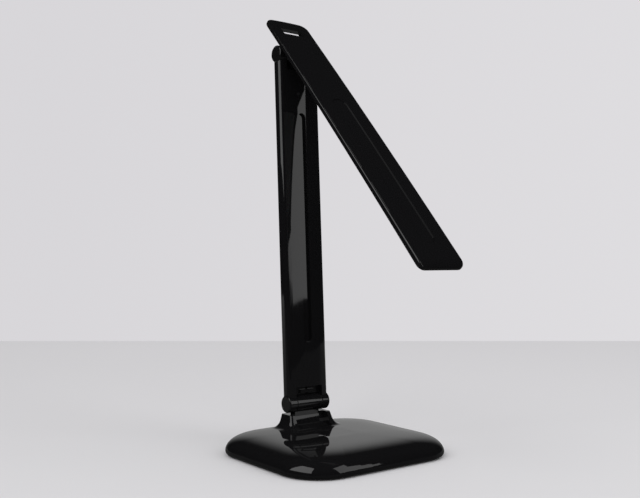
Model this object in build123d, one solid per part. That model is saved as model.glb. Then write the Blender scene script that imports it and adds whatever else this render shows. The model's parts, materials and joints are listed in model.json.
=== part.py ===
from build123d import *
import os
from math import asin, cos, radians, sin, sqrt

# Folding desk lamp in gloss black plastic: a weighted base with a hinge pedestal at its back,
# a flat hollow arm and a slim light bar that folds down onto the arm.
# Millimetres. The origin is on the table under the middle of the base, +Z is up and -Y is the front.

# Base shell
base_width = 175.0
base_depth = 157.0
base_corner = 39.4
base_waist_z = 4.2
base_shoulder = 14.5
base_crown = 1.4
base_roundness = 9.0
base_turn = 1.8
base_lip = 3.4
base_underside_z = 0.6
base_wall = 2.4
rim_wall = 5.6

# Bottom plate, pad and weight
plate_thickness = 2.8
plate_gap = 0.3
pad_width = 150.0
pad_depth = 130.0
pad_corner = 30.0
pad_pocket = 0.8
pad_gap = 0.25
weight_width = 116.0
weight_front = -20.0
weight_back = 55.5
weight_top_z = 10.0
weight_corner = 6.0
base_screw_y = 48.0
base_boss_radius = 3.6

# Pedestal and hinge knuckle of the base
hinge_back = 45.1
hinge_height = 42.0
pedestal_width = 48.0
pedestal_front = 9.0
pedestal_back = 8.0
pedestal_corner = 3.2
pedestal_top_z = 32.4
pedestal_root_z = 14.0
pedestal_side_flare = 4.0
pedestal_front_flare = 8.0
pedestal_back_flare = 3.5
pedestal_root_corner = 5.0
pedestal_blend = 10.0
pedestal_edge = 0.8
knuckle_radius = 8.1
knuckle_width = 28.4
neck_front = 2.1
neck_back = 5.5
neck_gap = 0.3
scoop_radius = 13.0
scoop_width = 38.0
scoop_sink = 0.2
foot_width = 50.0
foot_front = 20.5
foot_back = 55.5
foot_thickness = 3.5
foot_corner = 4.0
foot_screw_x = 20.5
foot_screw_front = 29.0
foot_screw_back = 51.0

# Electrics in the base
board_width = 60.0
board_front = -58.0
board_back = -24.0
board_thickness = 1.6
board_standoff = 2.4
board_screw_inset = 4.0
touch_width = 44.0
touch_front = -50.0
touch_back = -34.0
touch_thickness = 1.2
touch_top_z = 15.8
touch_post_radius = 1.6
inlet_width = 11.0
inlet_height = 8.0
inlet_front = 57.5
inlet_length = 9.5
inlet_nose_radius = 3.9
inlet_nose_gap = 0.2
inlet_nose_back = 75.4
inlet_bore = 2.75
inlet_bore_depth = 8.0
inlet_pin = 1.0
lead_radius = 0.9
lead_clear = 0.25
lead_gap = 1.3
lead_bend = 9.0

# Both hinges
barrel_radius = 8.2
barrel_proud = 0.25
cap_thickness = 1.7
cap_edge = 1.3
cap_spigot_radius = 5.3
cap_spigot = 0.7
fork_gap = 1.0
hinge_relief = 0.3
washer_thickness = 0.8
washer_radius = 6.5
pin_radius = 3.0
pin_fit = 0.02
pin_running_fit = 0.05
pin_head_radius = 5.0
pin_head_thickness = 2.2
pin_socket = 1.9
counterbore_radius = 5.5
counterbore_depth = 3.1

# Arm
arm_length = 339.6
arm_lean = 2.96
arm_width = 46.6
arm_front = 7.5
arm_back = 6.3
arm_corner = 4.5
arm_wall = 2.2
arm_flat = 9.2
arm_roll_radius = 69.0
arm_roll_angle = 9.5
groove_low = 58.0
groove_top_gap = 57.6
groove_depth = 3.0
groove_floor = 1.2
window_height = 15.8
window_depth = 6.0
yoke_length = 34.0
yoke_fit = 0.25
yoke_tab_width = 16.0
yoke_tab_low = 9.6
yoke_tab_high = 13.0
yoke_tab_depth = 1.6
spine_width = 24.0
spine_thickness = 2.0
spine_start = 18.5
spine_front = 0.9
spine_screw_x = 8.0
spine_screw_inset = 5.0
arm_screw_x = 17.0
arm_screw_inset = 60.0
arm_boss_radius = 3.2
arm_boss_split = 2.0
wire_radius = 1.1
wire_clear = 0.25
wire_back = -0.95

# Head
head_width = 49.6
head_front = 291.2
head_back = 40.7
head_top = 14.75
head_bow = 1.35
head_thickness = 5.1
head_taper = 0.3
head_slope = 47.6
head_front_corner = 6.2
head_back_corner = 9.3
head_back_bulge = 1.2
head_nose = 9.0
head_nose_radius = 15.0
head_nose_depth = 3.2
head_edge = 1.4
head_under_edge = 1.7
head_side_wall = 1.8
head_top_wall = 1.4
head_bottom_wall = 1.1
head_fit = 0.15
channel_width = 16.8
channel_start = 83.0
channel_end = 266.0
channel_depth = 0.7
slot_width = 24.0
slot_front = 17.5
slot_back = 26.0
slot_wall = 1.4
slot_corner = 1.2
slot_lean = 18.0
neck_cut_x = 14.6
neck_cut_y = 6.4
bracket_width = 40.0
bracket_front = 32.0
bracket_back = 12.0
bracket_corner = 3.0
bracket_thickness = 1.1
bracket_low = 10.85
bracket_neck = 12.0
bracket_screw_x = 15.5
bracket_screw_front = 27.0
bracket_screw_back = 8.0
bracket_boss_radius = 2.8
diffuser_start = 70.0
diffuser_end = 278.0
diffuser_half = 17.8
diffuser_corner = 3.0
diffuser_flange = 1.4
diffuser_flange_thickness = 0.5
diffuser_set = 0.2
guide_half = 18.6
guide_thickness = 1.3
reflector_thickness = 0.3
stack_gap = 0.1
strip_gap = 0.6
strip_thickness = 0.8
strip_height = 2.2
chip_thickness = 0.45
chip_length = 3.0
chip_height = 1.1
chip_pitch = 11.5
rail_thickness = 2.0
link_length = 6.5
link_gap = 0.3
link_thickness = 0.8
head_lead_radius = 0.8
head_screw_x = 18.4
head_screw_near = 47.0
head_screw_far = 283.5
head_boss_radius = 2.3

# Places worked out from the sizes above
plate_top_z = base_underside_z + plate_thickness
pocket_top_z = base_underside_z + pad_pocket
lead_x = weight_width / 2 + lead_gap + lead_radius
base_screw_x = lead_x + lead_radius + lead_gap + base_boss_radius
foot_top_z = weight_top_z + foot_thickness
barrel_width = arm_width + 2 * barrel_proud
groove_high = arm_length - groove_top_gap
lobe_inner = knuckle_width / 2 + fork_gap
lobe_outer = barrel_width / 2 - cap_thickness
pin_seat = lobe_outer - counterbore_depth
relief_radius = barrel_radius + hinge_relief
upper_back = hinge_back + arm_length * sin(radians(arm_lean))
upper_height = hinge_height + arm_length * cos(radians(arm_lean))
lower_place = Pos(0, hinge_back, hinge_height)
arm_place = Pos(0, hinge_back, hinge_height) * Rot(-arm_lean, 0, 0)
upper_place = arm_place * Pos(0, 0, arm_length)
head_place = Pos(0, upper_back, upper_height) * Rot(head_slope, 0, 0)
reach = 400.0

os.makedirs("parts", exist_ok=True)


def save(node, place, *solids):
    # One piece for each node; several solids of one kind share a node
    moved = [place * s for s in solids]
    shape = moved[0] if len(moved) == 1 else Compound(children=moved)
    export_step(shape, "parts/" + node + ".step")


def block(x_from, x_to, y_from, y_to, z_from, z_to):
    # Box between two corners
    middle = Pos((x_from + x_to) / 2, (y_from + y_to) / 2, (z_from + z_to) / 2)
    return middle * Box(abs(x_to - x_from), abs(y_to - y_from), abs(z_to - z_from))


def rod_x(radius, x_from, x_to):
    return Pos((x_from + x_to) / 2, 0, 0) * Rot(0, 90, 0) * Cylinder(radius, abs(x_to - x_from))


def rod_y(radius, y_from, y_to):
    return Pos(0, (y_from + y_to) / 2, 0) * Rot(90, 0, 0) * Cylinder(radius, abs(y_to - y_from))


def rod_z(radius, z_from, z_to):
    return Pos(0, 0, (z_from + z_to) / 2) * Cylinder(radius, abs(z_to - z_from))


def corners(x, y, *more):
    # The points (x, y) and (-x, y), for each y
    return [(side * x, each) for side in (-1, 1) for each in (y, *more)]


def screw(head_radius, head_height, shank_radius, length):
    # Cross-head screw with the top of its head at the origin, pointing down -Z
    body = rod_z(head_radius, -head_height, 0) + rod_z(shank_radius, -length, -head_height)
    arm = head_radius * 0.55
    cross = Box(2 * arm, head_radius * 0.22, head_height * 0.9)
    return body - cross - Rot(0, 0, 90) * cross


# Base shell: an outline that shrinks over a rounded shoulder and a gently crowned top
def outline(inset, scale, z):
    width = (base_width - 2 * inset) * scale
    depth = (base_depth - 2 * inset) * scale
    return Pos(0, 0, z) * RectangleRounded(width, depth, (base_corner - inset) * scale)


def pillow_height(scale, drop):
    shoulder = (base_shoulder - drop) * (1 - scale**base_roundness) ** (1 / base_turn)
    return base_waist_z + shoulder + base_crown * (1 - scale**2)


def pillow(inset, drop):
    scales = (1, 0.996, 0.985, 0.965, 0.935, 0.89, 0.83, 0.74, 0.6, 0.4, 0.15)
    return loft([outline(inset, k, pillow_height(k, drop)) for k in scales])


def tucked_rim():
    # Below the waist the side tucks in to the underside in a quarter ellipse
    drop = base_waist_z - base_underside_z
    turns = [radians(a) for a in (90, 65, 40, 20, 0)]
    return loft([outline(base_lip * (1 - cos(t)), 1, base_waist_z - drop * sin(t)) for t in turns])


def pedestal():
    # Upright block that flares towards its root, most at the front
    top_y = hinge_back + (pedestal_back - pedestal_front) / 2
    top_face = RectangleRounded(pedestal_width, pedestal_front + pedestal_back, pedestal_corner)
    root_y = top_y + (pedestal_back_flare - pedestal_front_flare) / 2
    root_depth = pedestal_front + pedestal_back + pedestal_front_flare + pedestal_back_flare
    root_face = RectangleRounded(pedestal_width + 2 * pedestal_side_flare, root_depth, pedestal_root_corner)
    return loft([Pos(0, top_y, pedestal_top_z) * top_face, Pos(0, root_y, pedestal_root_z) * root_face], ruled=True)


base_solid = tucked_rim() + pillow(0, 0)
raised = pedestal()
base_outer = base_solid + raised
blend_edges = [e for e in new_edges(base_solid, raised, combined=base_outer) if e.center().Z > pedestal_root_z]
base_outer = fillet(blend_edges, pedestal_blend)
rim_edges = base_outer.edges().filter_by_position(Axis.Z, pedestal_top_z - 0.1, pedestal_top_z + 0.1)
base_outer = fillet(rim_edges, pedestal_edge)
base_room = pillow(rim_wall, base_wall) + extrude(outline(rim_wall, 1, 0), base_waist_z)
cover = base_outer - base_room

# Front of the pedestal is scooped out between its cheeks, and the knuckle's neck comes up through it
neck_half = knuckle_width / 2
neck_front_y = hinge_back - neck_front
neck_back_y = hinge_back + neck_back
scoop_z = base_waist_z + base_shoulder + base_crown + scoop_radius - scoop_sink
scoop = Pos(0, neck_front_y - scoop_radius, scoop_z) * rod_x(scoop_radius, -scoop_width / 2, scoop_width / 2)
slot_x = neck_half + neck_gap
neck_slot = block(-slot_x, slot_x, neck_front_y - neck_gap, neck_back_y + neck_gap, foot_top_z - 1, hinge_height)

# Screws that hold the bottom plate come up into bosses under the cover
base_screw_head = 1.2
base_screw_shank = 1.4
base_screw_length = 8.6
base_screws = []
plate_holes = []
for x, y in corners(base_screw_x, -base_screw_y, base_screw_y):
    spot = Pos(x, y, 0)
    cover += (spot * rod_z(base_boss_radius, plate_top_z, reach)) & base_solid
    cover -= spot * rod_z(base_screw_shank + pin_fit, plate_top_z - 1, pocket_top_z + base_screw_length + 0.3)
    base_screws.append(spot * Pos(0, 0, pocket_top_z) * Rot(180, 0, 0) * screw(3.0, base_screw_head, base_screw_shank, base_screw_length))
    plate_holes.append(spot * rod_z(base_screw_shank + 0.2, 0, plate_top_z + 1))
    plate_holes.append(spot * rod_z(3.2, 0, pocket_top_z + base_screw_head + pin_fit))

# Foot screws go up through the knuckle's foot into short bosses under the cover
foot_screw_head = 1.6
foot_screw_length = 5.2
foot_screws = []
foot_holes = []
for x, y in corners(foot_screw_x, foot_screw_front, foot_screw_back):
    spot = Pos(x, y, 0)
    cover += (spot * rod_z(3.2, foot_top_z, reach)) & base_outer
    head_z = weight_top_z + 0.2
    cover -= spot * rod_z(1.4 + pin_fit, foot_top_z - 1, head_z + foot_screw_length + 0.2)
    foot_screws.append(spot * Pos(0, 0, head_z) * Rot(180, 0, 0) * screw(2.7, foot_screw_head, 1.4, foot_screw_length))
    foot_holes.append(spot * rod_z(1.6, 0, foot_top_z + 1))
    foot_holes.append(spot * rod_z(2.9, 0, head_z + foot_screw_head + pin_fit))

# The touch board hangs on two posts from the cover, and the inlet's nose shows through a hole at the back
touch_middle = (touch_front + touch_back) / 2
for x, y in corners(touch_width / 3, touch_middle):
    cover += (Pos(x, y, 0) * rod_z(touch_post_radius, touch_top_z, reach)) & base_solid
inlet_axis_z = plate_top_z + inlet_height / 2
inlet_back = inlet_front + inlet_length
cover -= Pos(0, 0, inlet_axis_z) * rod_y(inlet_nose_radius + inlet_nose_gap, inlet_back - 4, base_depth)
cover -= scoop
cover -= neck_slot
save("base_cover", Pos(0, 0, 0), cover)

# Bottom plate with a shallow pocket for the pad and standoffs for the board
board_middle = (board_front + board_back) / 2
standoff_top_z = plate_top_z + board_standoff
board_spots = corners(
    board_width / 2 - board_screw_inset, board_front + board_screw_inset, board_back - board_screw_inset
)
plate = extrude(outline(rim_wall + plate_gap, 1, base_underside_z), plate_thickness)
pocket_face = RectangleRounded(pad_width + 2 * pad_gap, pad_depth + 2 * pad_gap, pad_corner + pad_gap)
plate -= extrude(pocket_face, pocket_top_z)
for hole in plate_holes:
    plate -= hole
for x, y in board_spots:
    plate += Pos(x, y, 0) * rod_z(2.8, plate_top_z, standoff_top_z)
    plate -= Pos(x, y, 0) * rod_z(1.0 + pin_fit, plate_top_z, standoff_top_z + 1)
save("base_plate", Pos(0, 0, 0), plate)
save("base_screws", Pos(0, 0, 0), *base_screws)
save("non_slip_pad", Pos(0, 0, 0), extrude(RectangleRounded(pad_width, pad_depth, pad_corner), pocket_top_z))

weight_face = RectangleRounded(weight_width, weight_back - weight_front, weight_corner)
weight_spot = Pos(0, (weight_back + weight_front) / 2, plate_top_z)
save("ballast_plate", weight_spot, extrude(weight_face, weight_top_z - plate_top_z))

# Control board with its chip, coil, connector and capacitor
board_top_z = standoff_top_z + board_thickness
board = block(-board_width / 2, board_width / 2, board_front, board_back, standoff_top_z, board_top_z)
board += block(-9, -1, board_middle - 4, board_middle + 4, board_top_z, board_top_z + 1.4)
board += block(8, 17, board_middle - 5, board_middle + 4, board_top_z, board_top_z + 4.0)
board += block(-22, -15, board_middle - 3, board_middle + 5, board_top_z, board_top_z + 3.2)
board += Pos(2.5, board_middle + 8, 0) * rod_z(2.2, board_top_z, board_top_z + 4.6)
for x, y in board_spots:
    board -= Pos(x, y, 0) * rod_z(1.2, standoff_top_z - 1, board_top_z + 1)
save("control_board", Pos(0, 0, 0), board)
board_screw = Pos(0, 0, board_top_z + 0.9) * screw(1.9, 0.9, 1.0, 3.4)
save("board_screws", Pos(0, 0, 0), *[Pos(x, y, 0) * board_screw for x, y in board_spots])

touch_low_z = touch_top_z - touch_thickness
touch = extrude(RectangleRounded(touch_width, touch_back - touch_front, 2), touch_thickness)
save("touch_board", Pos(0, touch_middle, touch_low_z), touch)

# Power inlet: a socket body with a round nose and a centre pin
inlet = block(-inlet_width / 2, inlet_width / 2, inlet_front, inlet_back, plate_top_z, plate_top_z + inlet_height)
inlet_axis = Pos(0, 0, inlet_axis_z)
inlet += inlet_axis * rod_y(inlet_nose_radius, inlet_back, inlet_nose_back)
inlet -= inlet_axis * rod_y(inlet_bore, inlet_nose_back - inlet_bore_depth, inlet_nose_back)
inlet += inlet_axis * rod_y(inlet_pin, inlet_nose_back - inlet_bore_depth, inlet_nose_back - 1.5)
save("power_inlet", Pos(0, 0, 0), inlet)

# Two-core lead laid round the weight from the inlet to the control board
lead_z = standoff_top_z + board_thickness / 2
lead_y = inlet_front + inlet_length / 3
lead_line = FilletPolyline(
    (inlet_width / 2 + lead_clear, lead_y, lead_z),
    (lead_x, lead_y, lead_z),
    (lead_x, board_middle, lead_z),
    (board_width / 2 + lead_clear, board_middle, lead_z),
    radius=lead_bend,
)
lead_end = Plane(origin=lead_line @ 0, z_dir=lead_line % 0)
save("base_lead", Pos(0, 0, 0), sweep(lead_end * Circle(lead_radius), path=lead_line))


# Hinge pieces, the same at both ends of the arm
def both_sides(piece):
    return [piece, mirror(piece, Plane.YZ)]


def hinge_pin():
    head = rod_x(pin_head_radius, -pin_seat - pin_head_thickness, -pin_seat)
    shaft = rod_x(pin_radius, -pin_seat, pin_seat + pin_head_thickness)
    socket = Rot(0, 90, 0) * extrude(RegularPolygon(pin_socket, 6), pin_head_thickness * 0.6)
    return head + shaft - Pos(-pin_seat - pin_head_thickness, 0, 0) * socket


def hinge_nut():
    nut = Rot(0, 90, 0) * extrude(RegularPolygon(pin_head_radius, 6), pin_head_thickness)
    return Pos(pin_seat, 0, 0) * nut - rod_x(pin_radius + pin_fit, 0, barrel_width)


def hinge_washer():
    near = knuckle_width / 2 + (fork_gap - washer_thickness) / 2
    return rod_x(washer_radius, near, near + washer_thickness) - rod_x(pin_radius + 0.2, 0, barrel_width)


def hinge_cap():
    disc = rod_x(barrel_radius, lobe_outer, barrel_width / 2)
    disc = fillet(disc.edges().sort_by(Axis.X)[-1:], cap_edge)
    return disc + rod_x(cap_spigot_radius, lobe_outer - cap_spigot, lobe_outer)


knuckle_barrel = rod_x(knuckle_radius, -neck_half, neck_half)
pin_bore = rod_x(pin_radius + pin_running_fit, -barrel_width, barrel_width)
for level, place in (("lower", arm_place), ("upper", upper_place)):
    save(level + "_hinge_pin", place, hinge_pin())
    save(level + "_hinge_nut", place, hinge_nut())
    save(level + "_hinge_caps", place, *both_sides(hinge_cap()))
save("lower_washers", lower_place, *both_sides(hinge_washer()))
save("upper_washers", head_place, *both_sides(hinge_washer()))


# Knuckle of the base: a barrel on a neck that stands on a foot under the cover
foot_face = RectangleRounded(foot_width, foot_back - foot_front, foot_corner)
lower_knuckle = Pos(0, (foot_front + foot_back) / 2, weight_top_z) * extrude(foot_face, foot_thickness)
lower_knuckle += block(-neck_half, neck_half, neck_front_y, neck_back_y, foot_top_z, hinge_height)
lower_knuckle += lower_place * knuckle_barrel
lower_knuckle -= lower_place * pin_bore
for hole in foot_holes:
    lower_knuckle -= hole
save("lower_knuckle", Pos(0, 0, 0), lower_knuckle)
save("foot_screws", Pos(0, 0, 0), *foot_screws)


# Arm section: a flat tube whose front rolls back a little on both sides of the groove
def arm_face(inset):
    half = arm_width / 2 - inset
    front = inset - arm_front
    back = arm_back - inset
    turn = radians(arm_roll_angle)
    roll = arm_roll_radius - inset
    roll_x = arm_flat / 2 + roll * sin(turn)
    roll_y = front + roll * (1 - cos(turn))
    mid_x = arm_flat / 2 + roll * sin(turn / 2)
    mid_y = front + roll * (1 - cos(turn / 2))
    edge_y = roll_y + (half - roll_x) * sin(turn) / cos(turn)
    right = Polyline((roll_x, roll_y), (half, edge_y), (half, back), (-half, back), (-half, edge_y), (-roll_x, roll_y))
    left_roll = ThreePointArc((-roll_x, roll_y), (-mid_x, mid_y), (-arm_flat / 2, front))
    flat = Line((-arm_flat / 2, front), (arm_flat / 2, front))
    right_roll = ThreePointArc((arm_flat / 2, front), (mid_x, mid_y), (roll_x, roll_y))
    face = make_face(right + left_roll + flat + right_roll)
    sharp = [v for v in face.vertices() if abs(v.X) > half - 0.01]
    return fillet(sharp, arm_corner - inset)


def groove_cut(width, length, depth):
    # Round-ended slot along the arm, cut in from the front to a depth
    middle = (groove_low + groove_high) / 2
    face = Rot(0, 0, 90) * SlotOverall(length, width)
    deep = Pos(0, depth - arm_front, middle) * Rot(90, 0, 0) * extrude(face, reach)
    return deep


arm_bar = extrude(arm_face(0), arm_length)
arm_core = extrude(arm_face(arm_wall), arm_length)
arm_skin = extrude(arm_face(arm_wall / 2), arm_length)
front_half = block(-reach, reach, -reach, 0, -reach, reach)
rear_half = block(-reach, reach, 0, reach, -reach, reach)
groove_length = groove_high - groove_low
groove_bump = groove_cut(arm_flat + 2 * groove_floor, groove_length + 2 * groove_floor, groove_depth + groove_floor)
front_cover = (arm_bar & front_half) - arm_core
front_cover += groove_bump & arm_skin
front_cover -= groove_cut(arm_flat, groove_length, groove_depth)
rear_cover = (arm_bar & rear_half) - arm_core
for z_low, z_high in ((-1, window_height), (arm_length - window_height, arm_length + 1)):
    front_cover -= block(-lobe_inner, lobe_inner, -reach, 0, z_low, z_high)

arm_screw_head = 1.4
arm_screw_shank = 1.0
arm_screw_length = 8.4
arm_screws = []
arm_screw_y = arm_back - 0.8
for x, z in corners(arm_screw_x, arm_screw_inset, arm_length / 2, arm_length - arm_screw_inset):
    spot = Pos(x, 0, z)
    front_cover += spot * rod_y(arm_boss_radius, -arm_front, arm_boss_split) & arm_skin
    rear_cover += spot * rod_y(arm_boss_radius, arm_boss_split, arm_back) & arm_skin
    rear_cover -= spot * rod_y(2.2, arm_screw_y - arm_screw_head, arm_back + 1)
    rear_cover -= spot * rod_y(arm_screw_shank + 0.15, 0, arm_back)
    front_cover -= spot * rod_y(arm_screw_shank + pin_fit, arm_screw_y - arm_screw_length - 0.2, arm_boss_split + 1)
    arm_screws.append(spot * Pos(0, arm_screw_y, 0) * Rot(-90, 0, 0) * screw(2.1, arm_screw_head, arm_screw_shank, arm_screw_length))
ends_clear = rod_x(relief_radius, -barrel_width, barrel_width)
ends_clear += Pos(0, 0, arm_length) * ends_clear
save("arm_front_cover", arm_place, front_cover - ends_clear)
save("arm_rear_cover", arm_place, rear_cover - ends_clear)
save("arm_cover_screws", arm_place, *arm_screws)

# Steel spine on the back of both yokes, with its screws, and the wire in front of it
spine = block(-spine_width / 2, spine_width / 2, spine_front, spine_front + spine_thickness, spine_start, arm_length - spine_start)
spine_screw_head = 1.0
spine_screw_shank = 1.25
spine_screw_length = 6.4
spine_back = spine_front + spine_thickness
spine_screw = Pos(0, spine_back + spine_screw_head, 0) * Rot(-90, 0, 0)
spine_screw *= screw(2.4, spine_screw_head, spine_screw_shank, spine_screw_length)
spine_spots = []
for x, z in corners(spine_screw_x, spine_start + spine_screw_inset, yoke_length - 3.2):
    spine_spots.append(Pos(x, 0, z))
    spine_spots.append(Pos(x, 0, arm_length - z))
for spot in spine_spots:
    spine -= spot * rod_y(spine_screw_shank + 0.15, 0, reach)
save("arm_spine", arm_place, spine)
save("spine_screws", arm_place, *[spot * spine_screw for spot in spine_spots])
wire_start = window_height + wire_clear
save("arm_wire", arm_place, Pos(0, wire_back, 0) * rod_z(wire_radius, wire_start, arm_length - wire_start))


# Yoke: two barrel lobes joined by a block that fits inside the arm's covers
def yoke():
    body = extrude(arm_face(arm_wall + yoke_fit), yoke_length)
    body -= block(-lobe_inner, lobe_inner, spine_front, reach, 0, yoke_length)
    window_back = window_depth - arm_front
    body -= block(-lobe_inner, lobe_inner, -reach, window_back, 0, window_height)
    tab = yoke_tab_width / 2
    body += block(-tab, tab, window_back - yoke_tab_depth, window_back, yoke_tab_low, yoke_tab_high)
    body -= rod_x(relief_radius, -barrel_width, barrel_width)
    for side in (-1, 1):
        body += rod_x(barrel_radius, side * lobe_inner, side * lobe_outer)
        root = extrude(arm_face(arm_wall + yoke_fit), relief_radius)
        body += root & block(side * lobe_inner, side * lobe_outer, -reach, reach, 0, relief_radius)
        body -= rod_x(counterbore_radius, side * pin_seat, side * (lobe_outer + 1))
    body -= rod_x(pin_radius + pin_fit, -barrel_width, barrel_width)
    body -= Pos(0, wire_back, 0) * rod_z(wire_radius + wire_clear, 0, yoke_length + 1)
    for x, z in corners(spine_screw_x, spine_start + spine_screw_inset, yoke_length - 3.2):
        body -= Pos(x, 0, z) * rod_y(spine_screw_shank + pin_fit, spine_back - spine_screw_length + 0.8, spine_back)
    return body


save("lower_yoke", arm_place, yoke())
save("upper_yoke", upper_place * Rot(0, 180, 0), mirror(yoke(), Plane.YZ))

# Head: every layer follows the bow of the top, and the head and its layers thin towards the rear
head_span = head_front + head_back
bow_radius = (head_span**2 / 4 / head_bow + head_bow) / 2
bow_y = (head_back - head_front) / 2
bow_z = head_top - bow_radius
head_half = head_width / 2


def layer_height(depth, y):
    thinning = 1 - head_taper * (y - bow_y) / head_span
    return bow_z + sqrt(bow_radius**2 - (y - bow_y) ** 2) - depth * thinning


def layer(depth_from, depth_to, x_from, x_to, y_from, y_to):
    # Slab of the head between two depths under its top surface
    y_mid = (y_from + y_to) / 2
    high = [(y, layer_height(depth_from, y)) for y in (y_from, y_mid, y_to)]
    low = [(y, layer_height(depth_to, y)) for y in (y_to, y_mid, y_from)]
    rim = ThreePointArc(*high) + Line(high[2], low[0]) + ThreePointArc(*low) + Line(low[2], high[0])
    return Pos(x_from, 0, 0) * extrude(Plane.YZ * make_face(rim), x_to - x_from)


def head_plan(inset):
    # Plan of the head with a slightly convex rear end
    half = head_half - inset
    front = inset - head_front
    back = head_back - inset
    side_back = back - head_back_bulge
    rear = ThreePointArc((half, side_back), (0, back), (-half, side_back))
    rest = Polyline((-half, side_back), (-half, front), (half, front), (half, side_back))
    face = make_face(rear + rest)
    face = fillet([v for v in face.vertices() if v.Y < 0], head_front_corner - inset)
    return fillet([v for v in face.vertices() if v.Y > 0 and abs(v.X) > half - 0.01], head_back_corner - inset)


def nose_cut():
    # What the rounded front end takes off the top
    start = head_nose - head_front
    top = layer_height(0, start)
    roll = asin((head_nose + 1) / head_nose_radius)
    middle = (start - head_nose_radius * sin(roll / 2), top - head_nose_radius * (1 - cos(roll / 2)))
    end = (start - head_nose_radius * sin(roll), top - head_nose_radius * (1 - cos(roll)))
    high = top + head_thickness
    rim = ThreePointArc((start, top), middle, end) + Polyline(end, (end[0], high), (start, high), (start, top))
    return Pos(-head_width, 0, 0) * extrude(Plane.YZ * make_face(rim), 2 * head_width)


def head_slab(inset, depth_from, depth_to):
    whole = layer(depth_from, depth_to, -head_half, head_half, -head_front, head_back)
    return whole & extrude(head_plan(inset), reach)


def window(grow, depth_from, depth_to):
    # Rounded rectangle over the light guide, between two depths
    length = diffuser_end - diffuser_start + 2 * grow
    face = RectangleRounded(2 * (diffuser_half + grow), length, diffuser_corner + grow)
    prism = Pos(0, -(diffuser_start + diffuser_end) / 2, 0) * extrude(face, reach)
    return prism & layer(depth_from, depth_to, -head_half, head_half, -head_front, head_back)


def through_slot(grow):
    # Oblong hole behind the hinge, leaning towards the rear on its way down
    middle = (slot_front + slot_back) / 2
    depth = (slot_back - slot_front) * cos(radians(slot_lean))
    face = RectangleRounded(slot_width + 2 * grow, depth + 2 * grow, slot_corner + grow)
    place = Pos(0, middle, layer_height(0, middle)) * Rot(slot_lean, 0, 0)
    return place * extrude(face, head_top, both=True)


channel_length = channel_end - channel_start
channel_middle = -(channel_start + channel_end) / 2
channel = Pos(0, channel_middle, 0) * extrude(Rot(0, 0, 90) * SlotOverall(channel_length, channel_width), reach)
bottom_top = head_thickness - head_bottom_wall

top_cover = head_slab(0, 0, head_thickness) - nose_cut()
nose, crown = top_cover.faces().sort_by(Axis.Z)[-2:]
top_edges = [e for e in nose.edges() + crown.edges() if abs(e.center().Y + head_front - head_nose) > 0.1]
top_cover = fillet(top_edges, head_edge)
top_cover = fillet(top_cover.faces().sort_by(Axis.Z)[0].edges(), head_under_edge)
head_room = head_slab(head_side_wall, head_top_wall, head_thickness + 1)
head_room -= layer(0, head_nose_depth, -head_half, head_half, -head_front, head_nose - head_front)
top_cover -= head_room
top_cover += through_slot(slot_wall) & head_slab(head_side_wall / 2, head_top_wall / 2, head_thickness)
top_cover -= through_slot(0)
top_cover -= channel & layer(-1, channel_depth, -head_half, head_half, -head_front, head_back)

bottom_cover = head_slab(head_side_wall + head_fit, bottom_top, head_thickness)
bottom_cover -= block(-neck_cut_x, neck_cut_x, -neck_cut_y, neck_cut_y, 0, head_top)
bottom_cover -= through_slot(slot_wall + head_fit)
bottom_cover -= window(0, 0, head_thickness + 1)

# Screws from below hold the two covers together
head_screw_head = 0.6
head_screw_shank = 0.9
head_screw_length = 3.6
head_screws = []
for x, y in corners(head_screw_x, -head_screw_near, -head_screw_far):
    spot = Pos(x, y, 0)
    under = layer_height(head_thickness, y)
    top_cover += (spot * rod_z(head_boss_radius, 0, reach)) & head_slab(head_side_wall / 2, head_top_wall / 2, bottom_top)
    top_cover -= spot * rod_z(head_screw_shank + pin_fit, 0, under + 0.1 + head_screw_length + 0.1)
    bottom_cover -= spot * rod_z(head_screw_shank + 0.15, 0, reach)
    bottom_cover -= spot * rod_z(1.9, 0, under + 0.1 + head_screw_head)
    head_screws.append(spot * Pos(0, 0, under + 0.1) * Rot(180, 0, 0) * screw(1.8, head_screw_head, head_screw_shank, head_screw_length))

# Knuckle of the head: a barrel and neck under a plate that is screwed up into the top cover
plate_face = RectangleRounded(bracket_width, bracket_front + bracket_back, bracket_corner)
bracket_high = bracket_low + bracket_thickness
upper_knuckle = Pos(0, (bracket_back - bracket_front) / 2, bracket_low) * extrude(plate_face, bracket_thickness)
upper_knuckle += block(-neck_half, neck_half, -bracket_neck / 2, bracket_neck / 2, 0, bracket_low)
upper_knuckle += knuckle_barrel
upper_knuckle -= pin_bore
bracket_screw_head = 0.6
bracket_screw_shank = 1.0
bracket_screw_length = 2.2
bracket_screws = []
for x, y in corners(bracket_screw_x, -bracket_screw_front, bracket_screw_back):
    spot = Pos(x, y, 0)
    head_low = bracket_low - 0.1
    top_cover += (spot * rod_z(bracket_boss_radius, bracket_high, reach)) & head_slab(head_side_wall, head_top_wall / 2, head_thickness)
    top_cover -= spot * rod_z(bracket_screw_shank + pin_fit, 0, head_low + bracket_screw_length + 0.1)
    upper_knuckle -= spot * rod_z(bracket_screw_shank + 0.15, 0, reach)
    upper_knuckle -= spot * rod_z(2.1, 0, head_low + bracket_screw_head)
    bracket_screws.append(spot * Pos(0, 0, head_low) * Rot(180, 0, 0) * screw(2.0, bracket_screw_head, bracket_screw_shank, bracket_screw_length))
save("head_top_cover", head_place, top_cover)
save("head_bottom_cover", head_place, bottom_cover)
save("head_screws", head_place, *head_screws)
save("upper_knuckle", head_place, upper_knuckle)
save("upper_knuckle_screws", head_place, *bracket_screws)

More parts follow.
